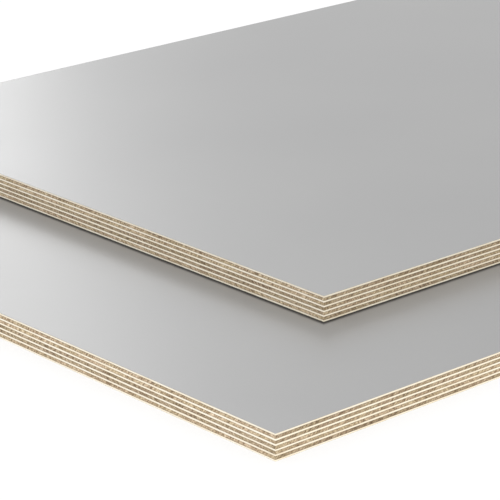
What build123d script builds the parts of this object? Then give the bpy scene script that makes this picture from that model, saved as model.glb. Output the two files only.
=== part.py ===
"""Two film-faced plywood sheets, one laid on the other and pushed back from its near corner.

Lengths are in millimetres. X runs along the width of the sheets, Y along their length and Z up.
The origin lies under the middle of the stack, on the plane it rests on.
"""

import os

from build123d import *

# One sheet
SHEET_WIDTH = 450.0
SHEET_LENGTH = 900.0
EDGE_EASING = 0.2  # flat taken off every edge and corner after sawing

# Its layers, each thickness as pressed
FILM_THICKNESS = 0.1
PALE_PLY_THICKNESS = 1.0
TAN_PLY_THICKNESS = 1.76
TAN_PLY_COUNT = 5  # a pale ply lies under and over each tan one

# The upper sheet's place, measured from the lower sheet's
UPPER_SHIFT_X = -93.0
UPPER_SHIFT_Y = 121.0

PLY_COUNT = TAN_PLY_COUNT + TAN_PLY_COUNT + 1
SHEET_NAMES = ("lower", "upper")


def sheet_layers():
    """Name and thickness of each layer of a sheet, from its underside up."""
    layers = [("bottom_film", FILM_THICKNESS)]
    for number in range(1, PLY_COUNT + 1):
        if number % 2:
            layers.append((f"ply_{number:02d}_pale", PALE_PLY_THICKNESS))
        else:
            layers.append((f"ply_{number:02d}_tan", TAN_PLY_THICKNESS))
    layers.append(("top_film", FILM_THICKNESS))
    return layers


SHEET_THICKNESS = sum(thickness for _, thickness in sheet_layers())


def standing_box(width, length, height):
    """A box centred on the Z axis that stands on the XY plane."""
    return Box(width, length, height, align=(Align.CENTER, Align.CENTER, Align.MIN))


def sheet_blank():
    """A whole sheet as sawn, with every edge and corner eased."""
    sawn = standing_box(SHEET_WIDTH, SHEET_LENGTH, SHEET_THICKNESS)
    return chamfer(sawn.edges(), EDGE_EASING)


def layer_of(blank, bottom, thickness):
    """The slice of a sheet between two of its glue lines."""
    slab = Pos(0, 0, bottom) * standing_box(2 * SHEET_WIDTH, 2 * SHEET_LENGTH, thickness)
    return (blank & slab).solid()


def sheet_parts():
    """Every layer of one sheet, seated on the layer below it."""
    blank = sheet_blank()
    parts = {}
    bottom = 0.0
    for name, thickness in sheet_layers():
        parts[name] = layer_of(blank, bottom, thickness)
        bottom += thickness
    return parts


def sheet_place(number):
    """Where a sheet of the stack lies, with the shifts shared out about the origin."""
    lowest_share = -(len(SHEET_NAMES) - 1) / 2
    shift_share = lowest_share + number
    return Pos(shift_share * UPPER_SHIFT_X, shift_share * UPPER_SHIFT_Y, number * SHEET_THICKNESS)


os.makedirs("parts", exist_ok=True)
for sheet_number, sheet_name in enumerate(SHEET_NAMES):
    place = sheet_place(sheet_number)
    for part_name, solid in sheet_parts().items():
        export_step(place * solid, f"parts/{sheet_name}_{part_name}.step")
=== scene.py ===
"""Looks of the plywood stack: veneers with worked edges, satin grey films, a white studio floor."""

import math

import bpy
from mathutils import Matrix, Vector, noise


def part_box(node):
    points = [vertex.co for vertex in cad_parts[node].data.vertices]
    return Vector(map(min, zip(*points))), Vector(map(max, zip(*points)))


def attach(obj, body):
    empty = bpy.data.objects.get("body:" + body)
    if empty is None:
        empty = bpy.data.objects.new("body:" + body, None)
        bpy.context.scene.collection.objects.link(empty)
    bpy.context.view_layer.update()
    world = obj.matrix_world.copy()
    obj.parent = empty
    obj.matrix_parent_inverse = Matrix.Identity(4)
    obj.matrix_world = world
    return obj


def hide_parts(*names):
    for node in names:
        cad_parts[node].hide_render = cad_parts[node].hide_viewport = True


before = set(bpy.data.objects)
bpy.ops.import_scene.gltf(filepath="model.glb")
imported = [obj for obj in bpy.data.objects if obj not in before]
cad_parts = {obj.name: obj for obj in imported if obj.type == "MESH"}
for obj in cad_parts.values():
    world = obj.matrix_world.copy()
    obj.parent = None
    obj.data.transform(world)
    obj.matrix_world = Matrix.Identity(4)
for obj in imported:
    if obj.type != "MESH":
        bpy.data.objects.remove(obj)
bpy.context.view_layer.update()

MM = 0.001
SHEETS = ("lower", "upper")
PLY_COUNT = 11
TONES = ("tan", "pale")  # by ply number: even, odd
TAN_THICKNESS_MM = 1.76
PALE_THICKNESS_MM = 1.0

# Segments round a sheet, powers of two so that the faces can coarsen inwards
LONG_SEGMENTS = 512
WIDE_SEGMENTS = 256
COARSENINGS = 6
FIRST_INSET = 2.5 * MM
SHARP_ANGLE = math.radians(25)

# Worked edge of a veneer
CORNER_FLAT = 0.2 * MM  # of the eased upright corners
GLUE_WAVE = 0.10 * MM  # how far a glue line strays up and down
GLUE_WAVE_FINE = 0.035 * MM
GLUE_WAVE_LENGTH = 38.0 * MM
GLUE_WAVE_LENGTH_FINE = 8.0 * MM
EDGE_ROWS = {"pale": 2, "tan": 4}
EDGE_RECESS = {"pale": 0.012 * MM, "tan": 0.055 * MM}  # how far saw and sandpaper went in
RECESS_LENGTH = 2.6 * MM
RECESS_EVEN, RECESS_HOLLOW, RECESS_ROUGH = 0.55, 0.3, 0.35  # shares of the recess

# Steps between the noises of one ply or glue line and the next
SHEET_SEED_STEP = 100
GLUE_SEED_STEP = 7.31
GLUE_SEED_STEP_FINE = 3.17
GLUE_SEED_START_FINE = 50
RECESS_SEED_STEP = 5.9
RECESS_SEED_RISE = 2.3  # from the foot of a ply to its top
LAYER_STEP = 137.0

# Material slots of a veneer
EDGE_SLOT, FACE_SLOT, ARRIS_SLOT = range(3)

# How light the veneers are, by their numbers: an edge sawn along the grain is lighter than one across it
LONG_GRAIN_TONES = {2: 1.13, 4: 1.035, 6: 1.03, 8: 1.19, 10: 1.12, 11: 0.95}
END_GRAIN_TONES = {2: 0.85, 4: 0.895, 6: 0.895, 8: 0.875, 10: 0.86, 11: 0.95}
GRAIN_ALONG_X = (2, 8, 10)
Y_SIDE_TINT = (1.0, 0.985, 0.95, 1.0)  # the sides that run along Y are a little warmer
Y_SIDE_TURN = (0.4, 0.6)  # of the normal's share of X, where a corner goes over to them
# Tone shares of the pale arrises, darker as painted shade: a little at the lower arris, where the sheet
# sits, more at the upper arris, which faces the light from above
ARRIS_SHADE_TONES = {"under": 0.95, "over": 0.66}

# Noises are given by scale, detail and roughness, and mostly lie in this range
NOISE_RANGE = (0.3, 0.7)
NOISE_MIDDLE = 0.5

# Tan plies, by millimetres along and up their edge
TAN_CHECKS = (0.75, 2.0, 0.6)
TAN_CHECKS_LEAN = 0.8
TAN_CHECKS_TURN = (0.49, 0.51)  # of a ply's chance, from one lean to the other
TAN_CHECKS_STRETCH = 0.45
TAN_PORES = (1.7, 2.0, 0.55)
TAN_PATCHES = (0.02, 4.0, 0.6)
TAN_PATCHES_STRETCH = 0.5
TAN_SHARES = (0.50, 0.44, 0.18)  # of checks, pores and patches in the tone
TAN_WOOD = (
    (0.43, (0.16, 0.105, 0.063)),
    (0.53, (0.37, 0.275, 0.18)),
    (0.60, (0.52, 0.40, 0.275)),
    (0.71, (0.76, 0.625, 0.465)),
)
TAN_CAST = (0.93, 1.0, 0.86, 1.0)
TAN_CAST_NOISE = (0.05, 2.0, 0.5)
TAN_CAST_RANGE = (0.35, 0.65)
TAN_CAST_MOST = 0.45
TAN_GLUE = (0.17, 0.11, 0.07, 1.0)
TAN_GLUE_MOST = 0.8
TAN_GLUE_DEPTH = (0.10, 0.45)
TAN_GLUE_RAGGED = 0.24
TAN_ROUGHNESS = (0.9, 0.72)
TAN_SPECULAR = 0.25
TAN_BUMP_SHARES = (0.7, 0.3)  # of checks and pores
TAN_BUMP = (0.5, 0.12 * MM)  # strength and depth

# Pale plies, by millimetres along and up their edge
PALE_STREAKS = (1.0, 4.0, 0.6)
PALE_STREAKS_STRETCH = (0.06, 4.0)
PALE_FLECKS = (1.0, 2.0, 0.5)
PALE_FLECKS_STRETCH = (0.7, 5.0)
PALE_PATCHES = (0.03, 2.0, 0.5)
PALE_SHARES = (0.55, 0.30, 0.15)  # of streaks, flecks and patches in the tone
PALE_WOOD = (
    (0.34, (0.82, 0.68, 0.48)),
    (0.48, (0.975, 0.895, 0.735)),
    (0.64, (0.99, 0.955, 0.85)),
)
PALE_GLUE = (0.30, 0.21, 0.13, 1.0)
PALE_GLUE_MOST = 0.85
PALE_GLUE_DEPTH = (0.07, 0.13)
PALE_GLUE_RAGGED = 0.10
PALE_ROUGHNESS = (0.78, 0.6)
PALE_SPECULAR = 0.3
PALE_BUMP = (0.35, 0.05 * MM)

# Faces inside a sheet, by metres
GLUED_CLOUD = (6.0, 3.0, 0.55)
GLUED_WOOD = ((0.3, (0.42, 0.30, 0.20)), (0.7, (0.60, 0.46, 0.32)))
GLUED_ROUGHNESS = (0.8, 0.6)

# Facing film, by metres
FILM_CLOUD = (7.0, 3.0, 0.5)
FILM_PEEL = (900.0, 2.0, 0.5)
FILM_SHARES = (0.75, 0.25)  # of cloud and peel in the tone
FILM_GREYS = ((0.3, (0.284, 0.284, 0.286)), (0.7, (0.306, 0.306, 0.305)))
FILM_ROUGHNESS = (0.285, 0.315)
FILM_SPECULAR = 0.5
FILM_BUMP = (0.04, 0.03 * MM)

# Painted shade in the crease where the upper sheet lies on the lower one: a dark band on the lower film,
# by millimetres out from the upper sheet's edge
CREASE_SHADE_FADE = (0.8, 3.9)
CREASE_SHADE_UNDER = (-9.0, -5.0)
CREASE_SHADE_STRAY = 0.8
CREASE_SHADE_STRAY_NOISE = (160.0, 3.0, 0.6)
CREASE_SHADE_COLOUR = (0.036, 0.034, 0.032, 1.0)
CREASE_SHADE_ROUGHNESS = 0.85

# The veneers' own picture maps: the edge in rows, the two faces side by side above them
MAP_ROWS = 32
MAP_BAND = 0.94  # share of the map's height for the edge
MAP_HALF = 0.5
MAP_ROW_END_MARGIN = 0.002
MAP_ROW_SIDE_MARGIN = 0.08
MAP_FACE_MARGIN = 0.01
MAP_FACE_SIDE_MARGIN = 0.005
ROUNDING = 1e-6

# Camera, as the photograph was taken
CAMERA_EYE = (1.14342, -1.31611, 0.53171)
CAMERA_AZIMUTH = math.radians(47.861)
CAMERA_ELEVATION = math.radians(19.575)
CAMERA_LENS_MM = 191.592
CAMERA_SENSOR_MM = 36.0
CAMERA_CLIP = (0.05, 200.0)

# Light
WORLD_STRENGTH = 0.955
FLOOR_REACH = 40.0
FLOOR_TONE = 0.82
FLOOR_SEEN_TONE = 0.27  # what the camera sees of it takes the shadow
FLOOR_SEEN_GLOW = 0.74
PANEL_AIM = (0.0, -0.1, 0.03)
# Name, heading from the camera's back line in degrees, distance, height, width, tallness, radiance
PANELS = (
    ("sheen_side", 191.0, 4.0, 2.2, 0.42, 2.8, 3.65),
    ("sheen_mid", 186.0, 4.0, 2.6, 0.28, 1.9, 2.5),
    ("sheen_end", 179.0, 4.0, 3.1, 0.28, 1.2, 4.8),
    ("front_panel", 0.0, 5.0, 1.6, 4.0, 2.2, 2.95),
)
GLOSSLESS_PANEL = "front_panel"  # it lights the wood, and the films stay grey from behind


def new_material(name):
    """A material with a fresh Principled shader: the material, its tree and the shader."""
    material = bpy.data.materials.new(name)
    material.use_nodes = True
    tree = material.node_tree
    tree.nodes.clear()
    out = tree.nodes.new("ShaderNodeOutputMaterial")
    shader = tree.nodes.new("ShaderNodeBsdfPrincipled")
    tree.links.new(shader.outputs["BSDF"], out.inputs["Surface"])
    return material, tree, shader


def put(tree, socket, value):
    """Links a socket to another one, or sets its value."""
    if isinstance(value, bpy.types.NodeSocket):
        tree.links.new(value, socket)
    else:
        socket.default_value = value


def add(tree, kind, inputs=None, **settings):
    """A node with its settings, and its inputs linked or set."""
    made = tree.nodes.new(kind)
    for name, value in settings.items():
        setattr(made, name, value)
    for key, value in (inputs or {}).items():
        put(tree, made.inputs[key], value)
    return made


def math_of(tree, operation, a, b=0.0, c=0.0):
    return add(tree, "ShaderNodeMath", {0: a, 1: b, 2: c}, operation=operation).outputs[0]


def times(tree, a, b):
    return math_of(tree, "MULTIPLY", a, b)


def weighed(tree, values, weights):
    """The sum of values, each times its weight."""
    total = times(tree, values[0], weights[0])
    for value, weight in zip(values[1:], weights[1:]):
        total = math_of(tree, "MULTIPLY_ADD", value, weight, total)
    return total


def fitted(tree, value, low, high, to_low=0.0, to_high=1.0, kind="SMOOTHSTEP"):
    keys = {"Value": value, "From Min": low, "From Max": high, "To Min": to_low, "To Max": to_high}
    return add(tree, "ShaderNodeMapRange", keys, interpolation_type=kind).outputs[0]


def noise_of(tree, vector, scale, detail, rough):
    keys = {"Vector": vector, "Scale": scale, "Detail": detail, "Roughness": rough}
    return add(tree, "ShaderNodeTexNoise", keys).outputs[0]


def place_of(tree, x, y, z):
    return add(tree, "ShaderNodeCombineXYZ", {0: x, 1: y, 2: z}).outputs[0]


def parts_of(tree, vector):
    return add(tree, "ShaderNodeSeparateXYZ", {0: vector}).outputs


def coordinates(tree, kind):
    return add(tree, "ShaderNodeTexCoord").outputs[kind]


def mixed(tree, factor, a, b, blend="MIX"):
    made = add(tree, "ShaderNodeMix", data_type="RGBA", blend_type=blend)
    for key, value in ((0, factor), (6, a), (7, b)):
        put(tree, made.inputs[key], value)
    return made.outputs[2]


def ramp_of(tree, factor, stops):
    made = add(tree, "ShaderNodeValToRGB", {"Fac": factor})
    elements = made.color_ramp.elements
    while len(elements) < len(stops):
        elements.new(0.5)
    for element, (place, colour) in zip(elements, stops):
        element.position = place
        element.color = (*colour, 1.0)
    return made.outputs[0]


def roughened(tree, shader, value, roughness):
    """Roughness that goes with a noise."""
    put(tree, shader.inputs["Roughness"], fitted(tree, value, *NOISE_RANGE, *roughness, "LINEAR"))


def bumped(tree, shader, height, strength, distance):
    keys = {"Strength": strength, "Distance": distance, "Height": height}
    put(tree, shader.inputs["Normal"], add(tree, "ShaderNodeBump", keys).outputs[0])


def grey(value):
    return (value, value, value, 1.0)


def edge_places(tree):
    """Millimetres along the sheet's edge and up the veneer, and two values of the veneer's own."""
    uv = parts_of(tree, add(tree, "ShaderNodeUVMap", uv_map="edge").outputs[0])
    along = times(tree, uv[0], 1 / MM)
    up = times(tree, uv[1], 1 / MM)
    chance = add(tree, "ShaderNodeObjectInfo").outputs["Random"]
    return along, up, times(tree, chance, LAYER_STEP), chance


def tone_of_side(tree):
    """The veneer's tone as a colour.

    The veneer's object colour has the tone for the sides along X (red) and along Y (green).
    """
    colour = add(tree, "ShaderNodeObjectInfo").outputs["Color"]
    tones = add(tree, "ShaderNodeSeparateColor", {0: colour}).outputs
    across = math_of(tree, "ABSOLUTE", parts_of(tree, coordinates(tree, "Normal"))[0])
    on_y_side = fitted(tree, across, *Y_SIDE_TURN, kind="LINEAR")
    tone = fitted(tree, on_y_side, 0.0, 1.0, tones[0], tones[1], "LINEAR")
    tint = mixed(tree, on_y_side, grey(1.0), Y_SIDE_TINT)
    return mixed(tree, 1.0, tint, place_of(tree, tone, tone, tone), "MULTIPLY")


def depth_of_glue(tree, up, thickness, stray, most_stray):
    """Millimetres from the nearer glue line, which a noise makes ragged."""
    away = math_of(tree, "MINIMUM", up, math_of(tree, "SUBTRACT", thickness, up))
    return math_of(tree, "MULTIPLY_ADD", stray, most_stray, away)


def tan_veneer():
    """Edge of the thick tan plies: mottled, with slanting lathe checks and dark glue lines."""
    material, tree, shader = new_material("tan_veneer_edge")
    along, up, layer, chance = edge_places(tree)
    # The checks lean one way or the other from ply to ply
    lean = fitted(tree, chance, *TAN_CHECKS_TURN, -TAN_CHECKS_LEAN, TAN_CHECKS_LEAN)
    slanted = math_of(tree, "MULTIPLY_ADD", up, lean, along)
    checks_place = place_of(tree, slanted, times(tree, up, TAN_CHECKS_STRETCH), layer)
    patches_place = place_of(tree, along, times(tree, up, TAN_PATCHES_STRETCH), layer)
    checks = noise_of(tree, checks_place, *TAN_CHECKS)
    pores = noise_of(tree, place_of(tree, along, up, layer), *TAN_PORES)
    patches = noise_of(tree, patches_place, *TAN_PATCHES)
    wood = ramp_of(tree, weighed(tree, (checks, pores, patches), TAN_SHARES), TAN_WOOD)
    hue = noise_of(tree, place_of(tree, along, 0.0, layer), *TAN_CAST_NOISE)
    cast = fitted(tree, hue, *TAN_CAST_RANGE, 0.0, TAN_CAST_MOST)
    wood = mixed(tree, cast, wood, TAN_CAST, "MULTIPLY")
    wood = mixed(tree, 1.0, wood, tone_of_side(tree), "MULTIPLY")
    # Glue soaks in from both sides
    depth = depth_of_glue(tree, up, TAN_THICKNESS_MM, pores, TAN_GLUE_RAGGED)
    soaked = fitted(tree, depth, *TAN_GLUE_DEPTH, TAN_GLUE_MOST, 0.0)
    put(tree, shader.inputs["Base Color"], mixed(tree, soaked, wood, TAN_GLUE))
    put(tree, shader.inputs["Specular IOR Level"], TAN_SPECULAR)
    roughened(tree, shader, checks, TAN_ROUGHNESS)
    bumped(tree, shader, weighed(tree, (checks, pores), TAN_BUMP_SHARES), *TAN_BUMP)
    return material


def pale_veneer(name, share):
    """Edge of the thin pale plies: fine streaks along it, at a share of the clean wood's tone; a share
    below one is painted shade on the arrises.
    """
    material, tree, shader = new_material(name)
    along, up, layer, _ = edge_places(tree)

    def stretched(length, rise):
        return place_of(tree, times(tree, along, length), times(tree, up, rise), layer)

    streaks = noise_of(tree, stretched(*PALE_STREAKS_STRETCH), *PALE_STREAKS)
    flecks = noise_of(tree, stretched(*PALE_FLECKS_STRETCH), *PALE_FLECKS)
    patches = noise_of(tree, place_of(tree, along, 0.0, layer), *PALE_PATCHES)
    tone = weighed(tree, (streaks, flecks, patches), PALE_SHARES)
    stops = [(place, [share * part for part in colour]) for place, colour in PALE_WOOD]
    wood = mixed(tree, 1.0, ramp_of(tree, tone, stops), tone_of_side(tree), "MULTIPLY")
    # A thin glue line on both sides
    depth = depth_of_glue(tree, up, PALE_THICKNESS_MM, flecks, PALE_GLUE_RAGGED)
    glued = fitted(tree, depth, *PALE_GLUE_DEPTH, PALE_GLUE_MOST, 0.0)
    put(tree, shader.inputs["Base Color"], mixed(tree, glued, wood, PALE_GLUE))
    put(tree, shader.inputs["Specular IOR Level"], PALE_SPECULAR)
    roughened(tree, shader, streaks, PALE_ROUGHNESS)
    bumped(tree, shader, tone, *PALE_BUMP)
    return material


def glued_face():
    """Faces of a veneer inside the sheet, under glue."""
    material, tree, shader = new_material("glued_face")
    cloud = noise_of(tree, coordinates(tree, "Object"), *GLUED_CLOUD)
    put(tree, shader.inputs["Base Color"], ramp_of(tree, cloud, GLUED_WOOD))
    roughened(tree, shader, cloud, GLUED_ROUGHNESS)
    return material


def grey_film(name, crease=None):
    """Smooth satin facing film: nearly even grey, a faint cloud, a fine peel.

    A crease is the corner of a sheet that lies on the film: along that sheet's edges the film gets a
    dark band of painted shade, and further right and nearer, the film is bare.
    """
    material, tree, shader = new_material(name)
    place = coordinates(tree, "Object")
    cloud = noise_of(tree, place, *FILM_CLOUD)
    peel = noise_of(tree, place, *FILM_PEEL)
    colour = ramp_of(tree, weighed(tree, (cloud, peel), FILM_SHARES), FILM_GREYS)
    rough = fitted(tree, cloud, *NOISE_RANGE, *FILM_ROUGHNESS, "LINEAR")
    # Painted shade: a dark band along the edges of the sheet that lies on the film, dark from a few
    # millimetres under that sheet to just out of its edge, then fading out
    if crease:
        parts = parts_of(tree, place)
        right = math_of(tree, "SUBTRACT", parts[0], crease[0])
        nearer = math_of(tree, "SUBTRACT", crease[1], parts[1])
        away = times(tree, math_of(tree, "MAXIMUM", right, nearer), 1 / MM)
        stray = math_of(tree, "SUBTRACT", noise_of(tree, place, *CREASE_SHADE_STRAY_NOISE), NOISE_MIDDLE)
        away = math_of(tree, "MULTIPLY_ADD", stray, CREASE_SHADE_STRAY, away)
        fading = fitted(tree, away, *CREASE_SHADE_FADE, 1.0, 0.0)
        painted_shade = times(tree, fading, fitted(tree, away, *CREASE_SHADE_UNDER))
        colour = mixed(tree, painted_shade, colour, CREASE_SHADE_COLOUR)
        rough = fitted(tree, painted_shade, 0.0, 1.0, rough, CREASE_SHADE_ROUGHNESS, "LINEAR")
    put(tree, shader.inputs["Base Color"], colour)
    put(tree, shader.inputs["Roughness"], rough)
    put(tree, shader.inputs["Specular IOR Level"], FILM_SPECULAR)
    bumped(tree, shader, peel, *FILM_BUMP)
    return material


def ripple(x, y, length, seed):
    """Smooth noise between about -1 and 1 at a point of the plan."""
    return max(-1.0, min(1.0, noise.noise(Vector((x / length, y / length, seed)))))


def outline(low, high, inset, halvings):
    """Points round a sheet's plan at an inset, and the segments of its four sides.

    They run counter-clockwise and leave the eased corners open.
    """
    x0, y0, x1, y1 = low[0] + inset, low[1] + inset, high[0] - inset, high[1] - inset
    wide, long = WIDE_SEGMENTS >> halvings, LONG_SEGMENTS >> halvings
    sides = (
        ((x0 + CORNER_FLAT, y0), (x1 - CORNER_FLAT, y0), wide),
        ((x1, y0 + CORNER_FLAT), (x1, y1 - CORNER_FLAT), long),
        ((x1 - CORNER_FLAT, y1), (x0 + CORNER_FLAT, y1), wide),
        ((x0, y1 - CORNER_FLAT), (x0, y0 + CORNER_FLAT), long),
    )
    points = []
    for (ax, ay), (bx, by), count in sides:
        for i in range(count + 1):
            points.append((ax + (bx - ax) * i / count, ay + (by - ay) * i / count))
    return points, [side[2] for side in sides]


def inwards(counts):
    """For each point of an outline, the direction square to its side that leads into the sheet."""
    ways = ((0, 1), (-1, 0), (0, -1), (1, 0))
    return [way for way, count in zip(ways, counts) for _ in range(count + 1)]


class Slab:
    """A closed mesh in the making: rings round its edge, faces that coarsen inwards from them."""

    def __init__(self, low, high):
        self.low, self.high = low, high
        self.points, self.counts = outline(low, high, 0.0, 0)
        self.ways = inwards(self.counts)
        self.vertices, self.faces, self.slots, self.rings = [], [], [], []

    def ring(self, place):
        """A ring of vertices; place gives each point's inset and height."""
        first = len(self.vertices)
        for (x, y), (sx, sy) in zip(self.points, self.ways):
            inset, z = place(x, y)
            self.vertices.append((x + sx * inset, y + sy * inset, z))
        self.rings.append(list(range(first, len(self.vertices))))

    def band(self, lower, upper, slot):
        """The faces between two rings."""
        total = len(self.points)
        for i in range(total):
            j = (i + 1) % total
            self.faces.append((lower[i], lower[j], upper[j], upper[i]))
            self.slots.append(slot)

    def cap(self, ring, z, up, start, slot):
        """A flat face from a ring inwards, beginning at an inset."""
        outer, outer_counts, inset = ring, self.counts, start
        made = len(self.faces)
        for halvings in range(1, COARSENINGS + 1):
            inset += FIRST_INSET * 2 ** (halvings - 1)
            inner_points, inner_counts = outline(self.low, self.high, inset, halvings)
            first = len(self.vertices)
            self.vertices.extend((x, y, z) for x, y in inner_points)
            inner = list(range(first, len(self.vertices)))
            self.coarsen(outer, outer_counts, inner, inner_counts)
            outer, outer_counts = inner, inner_counts
        middle = len(self.vertices)
        self.vertices.append(((self.low[0] + self.high[0]) / 2, (self.low[1] + self.high[1]) / 2, z))
        for i in range(len(outer)):
            self.faces.append((outer[i], outer[(i + 1) % len(outer)], middle))
        if not up:
            self.faces[made:] = [face[::-1] for face in self.faces[made:]]
        self.slots.extend([slot] * (len(self.faces) - made))

    def coarsen(self, outer, outer_counts, inner, inner_counts):
        """Triangles from an outline to the next one in, which has half its segments."""
        a = b = 0
        for outer_count, inner_count in zip(outer_counts, inner_counts):
            for s in range(inner_count):
                o0, o1, o2 = outer[a + 2 * s:a + 2 * s + 3]
                i0, i1 = inner[b + s:b + s + 2]
                self.faces += [(o0, o1, i0), (o1, i1, i0), (o1, o2, i1)]
            corner = (outer[a + outer_count], inner[b + inner_count])
            a += outer_count + 1
            b += inner_count + 1
            self.faces.append((corner[0], outer[a % len(outer)], inner[b % len(inner)], corner[1]))

    def mesh(self, name):
        made = bpy.data.meshes.new(name)
        made.from_pydata(self.vertices, [], self.faces)
        made.polygons.foreach_set("material_index", self.slots)
        return made


def dressed(mesh, node, materials):
    """A piece that takes a solid's place in the pictures."""
    piece = bpy.data.objects.new(mesh.name, mesh)
    bpy.context.scene.collection.objects.link(piece)
    for material in materials:
        mesh.materials.append(material)
    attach(piece, "root")
    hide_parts(node)
    return piece


def veneer(node, sheet, number, materials):
    """A veneer with wandering glue lines and a worked edge."""
    tone = TONES[number % 2]
    low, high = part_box(node)
    eased = high.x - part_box(f"{sheet}_top_film")[1].x
    seed = SHEETS.index(sheet) * SHEET_SEED_STEP + number
    lowest, highest = number == 1, number == PLY_COUNT
    thickness = high.z - low.z
    slab = Slab(low, high)

    def strayed(x, y, level):
        slow = ripple(x, y, GLUE_WAVE_LENGTH, level * GLUE_SEED_STEP)
        fast = ripple(x, y, GLUE_WAVE_LENGTH_FINE, level * GLUE_SEED_STEP_FINE + GLUE_SEED_START_FINE)
        return GLUE_WAVE * slow + GLUE_WAVE_FINE * fast

    def height(x, y, share):
        lower = low.z + (0.0 if lowest else strayed(x, y, seed))
        upper = high.z + (0.0 if highest else strayed(x, y, seed + 1))
        return lower + (upper - lower) * share

    def recess(x, y, share):
        hollow = 1.0 - (2.0 * share - 1.0) ** 4
        rough = ripple(x, y, RECESS_LENGTH, seed * RECESS_SEED_STEP + share * RECESS_SEED_RISE)
        return EDGE_RECESS[tone] * (RECESS_EVEN + RECESS_HOLLOW * hollow + RECESS_ROUGH * rough)

    def on_edge(share):
        return lambda x, y: (recess(x, y, share), height(x, y, share))

    shares = [i / EDGE_ROWS[tone] for i in range(EDGE_ROWS[tone] + 1)]
    low_share = eased / thickness if lowest else 0.0
    high_share = 1.0 - eased / thickness if highest else 1.0
    ups = [low_share] + [share for share in shares if low_share < share < high_share] + [high_share]
    for share in ups:
        slab.ring(on_edge(share))
    if lowest:
        slab.ring(lambda x, y: (eased, low.z))
        slab.rings.insert(0, slab.rings.pop())
        ups.insert(0, 0.0)
    if highest:
        slab.ring(lambda x, y: (eased, high.z))
        ups.append(1.0)
    for k, (lower, upper) in enumerate(zip(slab.rings, slab.rings[1:])):
        on_arris = (lowest and k == 0) or (highest and k == len(slab.rings) - 2)
        slab.band(lower, upper, ARRIS_SLOT if on_arris else EDGE_SLOT)
    edge_faces = len(slab.faces)
    slab.cap(slab.rings[-1], high.z, True, eased if highest else 0.0, FACE_SLOT)
    under_faces = len(slab.faces)
    slab.cap(slab.rings[0], low.z, False, eased if lowest else 0.0, FACE_SLOT)

    mesh = slab.mesh(node + "_veneer")
    mesh.polygons.foreach_set("use_smooth", [slot != FACE_SLOT for slot in slab.slots])
    # The outer plies have a glue line on one side only, so their wood is mapped from the middle outwards
    wood_ups = [0.5 + 0.5 * up if lowest else 0.5 * up if highest else up for up in ups]
    lay_maps(mesh, slab, ups, wood_ups, edge_faces, under_faces)
    mesh.set_sharp_from_angle(angle=SHARP_ANGLE)
    mesh.validate()
    shown = [materials[tone], materials["glued"]]
    # The outer plies' arrises take the darker pale copies: painted shade
    if lowest or highest:
        shown.append(materials["under" if lowest else "over"])
    piece = dressed(mesh, node, shown)
    long, end = LONG_GRAIN_TONES.get(number, 1.0), END_GRAIN_TONES.get(number, 1.0)
    piece.color = (long, end, 1.0, 1.0) if number in GRAIN_ALONG_X else (end, long, 1.0, 1.0)


def within(share, margin, room=1.0):
    """A place in a stretch of a map, clear of both its ends."""
    return margin + (room - 2 * margin) * share


def lay_maps(mesh, slab, ups, wood_ups, edge_faces, under_faces):
    """Two picture maps: metres along and up the edge for the wood, and the piece's own map in rows."""
    total = len(slab.points)
    along = [0.0]
    for (ax, ay), (bx, by) in zip(slab.points, slab.points[1:] + slab.points[:1]):
        along.append(along[-1] + math.hypot(bx - ax, by - ay))
    thickness = slab.high.z - slab.low.z
    row_length = along[-1] / MAP_ROWS
    size = (slab.high.x - slab.low.x, slab.high.y - slab.low.y)
    edge_map, own_map = [], []
    for number, face in enumerate(slab.faces):
        if number < edge_faces:
            ring, i = divmod(number, total)
            row = min(int(along[i] / row_length + ROUNDING), MAP_ROWS - 1)
            for far, level in ((0, ring), (1, ring), (1, ring + 1), (0, ring + 1)):
                edge_map += (along[i + far], wood_ups[level] * thickness)
                across = min((along[i + far] - row * row_length) / row_length, 1.0)
                rows = row + within(ups[level], MAP_ROW_SIDE_MARGIN)
                own_map += (within(across, MAP_ROW_END_MARGIN), rows / MAP_ROWS * MAP_BAND)
        else:
            start = 0.0 if number < under_faces else MAP_HALF
            for vertex in face:
                x, y, _ = slab.vertices[vertex]
                edge_map += (x, thickness / 2)
                across, over = (y - slab.low.y) / size[1], (x - slab.low.x) / size[0]
                own_map += (start + within(across, MAP_FACE_MARGIN, MAP_HALF),
                            MAP_BAND + within(over, MAP_FACE_SIDE_MARGIN, 1.0 - MAP_BAND))
    edge_layer = mesh.uv_layers.new(name="edge")
    own_layer = mesh.uv_layers.new(name="OFBake")
    edge_layer.uv.foreach_set("vector", edge_map)
    own_layer.uv.foreach_set("vector", own_map)
    mesh.uv_layers.active = edge_layer
    edge_layer.active_render = True


def floor():
    mesh = bpy.data.meshes.new("floor")
    corners = [(x * FLOOR_REACH, y * FLOOR_REACH, 0) for x, y in ((-1, -1), (1, -1), (1, 1), (-1, 1))]
    mesh.from_pydata(corners, [], [(0, 1, 2, 3)])
    ground = bpy.data.objects.new("floor", mesh)
    bpy.context.scene.collection.objects.link(ground)
    material = bpy.data.materials.new("floor_white")
    material.use_nodes = True
    tree = material.node_tree
    tree.nodes.clear()
    out = tree.nodes.new("ShaderNodeOutputMaterial")
    path = add(tree, "ShaderNodeLightPath").outputs
    seen = math_of(tree, "MAXIMUM", path["Is Camera Ray"], path["Is Glossy Ray"])
    seen = math_of(tree, "MAXIMUM", seen, path["Is Transmission Ray"])
    plain = add(tree, "ShaderNodeBsdfDiffuse", {"Color": grey(FLOOR_TONE)}).outputs[0]
    shaded = add(tree, "ShaderNodeBsdfDiffuse", {"Color": grey(FLOOR_SEEN_TONE)}).outputs[0]
    glow = add(tree, "ShaderNodeEmission", {"Color": grey(1.0), "Strength": FLOOR_SEEN_GLOW}).outputs[0]
    white = add(tree, "ShaderNodeAddShader", {0: shaded, 1: glow}).outputs[0]
    surface = add(tree, "ShaderNodeMixShader", {0: seen, 1: plain, 2: white}).outputs[0]
    put(tree, out.inputs["Surface"], surface)
    mesh.materials.append(material)


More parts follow.
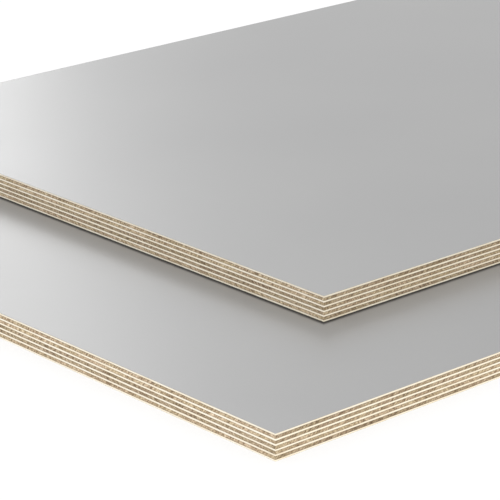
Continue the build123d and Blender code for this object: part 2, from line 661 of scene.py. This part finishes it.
def lights():
    world = bpy.data.worlds.new("studio")
    bpy.context.scene.world = world
    world.use_nodes = True
    background = world.node_tree.nodes["Background"]
    background.inputs["Color"].default_value = grey(1.0)
    background.inputs["Strength"].default_value = WORLD_STRENGTH
    aim = Vector(PANEL_AIM)
    for name, heading, distance, height, width, tallness, radiance in PANELS:
        lamp = bpy.data.lights.new(name, "AREA")
        lamp.shape = "RECTANGLE"
        lamp.size, lamp.size_y = width, tallness
        lamp.energy = radiance * math.pi * width * tallness
        turn = CAMERA_AZIMUTH + math.radians(heading)
        holder = bpy.data.objects.new(name, lamp)
        holder.location = (aim.x + math.sin(turn) * distance, aim.y - math.cos(turn) * distance, height)
        holder.rotation_euler = (aim - holder.location).to_track_quat("-Z", "Y").to_euler()
        holder.visible_camera = False
        holder.visible_glossy = name != GLOSSLESS_PANEL
        bpy.context.scene.collection.objects.link(holder)


def camera():
    data = bpy.data.cameras.new("camera")
    data.sensor_width = CAMERA_SENSOR_MM
    data.lens = CAMERA_LENS_MM
    data.clip_start, data.clip_end = CAMERA_CLIP
    eye = bpy.data.objects.new("camera", data)
    eye.location = CAMERA_EYE
    eye.rotation_euler = (math.pi / 2 - CAMERA_ELEVATION, 0.0, CAMERA_AZIMUTH)
    bpy.context.scene.collection.objects.link(eye)
    bpy.context.scene.camera = eye


camera()
wood = {"tan": tan_veneer(), "pale": pale_veneer("pale_veneer_edge", 1.0), "glued": glued_face()}
# Darker copies of the pale veneer for the arrises: painted shade
for shaded_arris, shade_share in ARRIS_SHADE_TONES.items():
    wood[shaded_arris] = pale_veneer(f"pale_veneer_{shaded_arris}_arris", shade_share)
film = grey_film("grey_film")
upper_low, upper_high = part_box("upper_ply_02_tan")
for sheet_name in SHEETS:
    for ply in range(1, PLY_COUNT + 1):
        veneer(f"{sheet_name}_ply_{ply:02d}_{TONES[ply % 2]}", sheet_name, ply, wood)
    for side in ("bottom", "top"):
        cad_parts[f"{sheet_name}_{side}_film"].material_slots[0].material = film
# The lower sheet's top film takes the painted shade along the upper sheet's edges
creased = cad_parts["lower_top_film"]
corner = creased.matrix_world.inverted() @ Vector((upper_high.x, upper_low.y, upper_low.z))
creased.material_slots[0].material = grey_film("grey_film_creased", corner)
floor()
lights()
bpy.context.scene.view_settings.view_transform = "Standard"
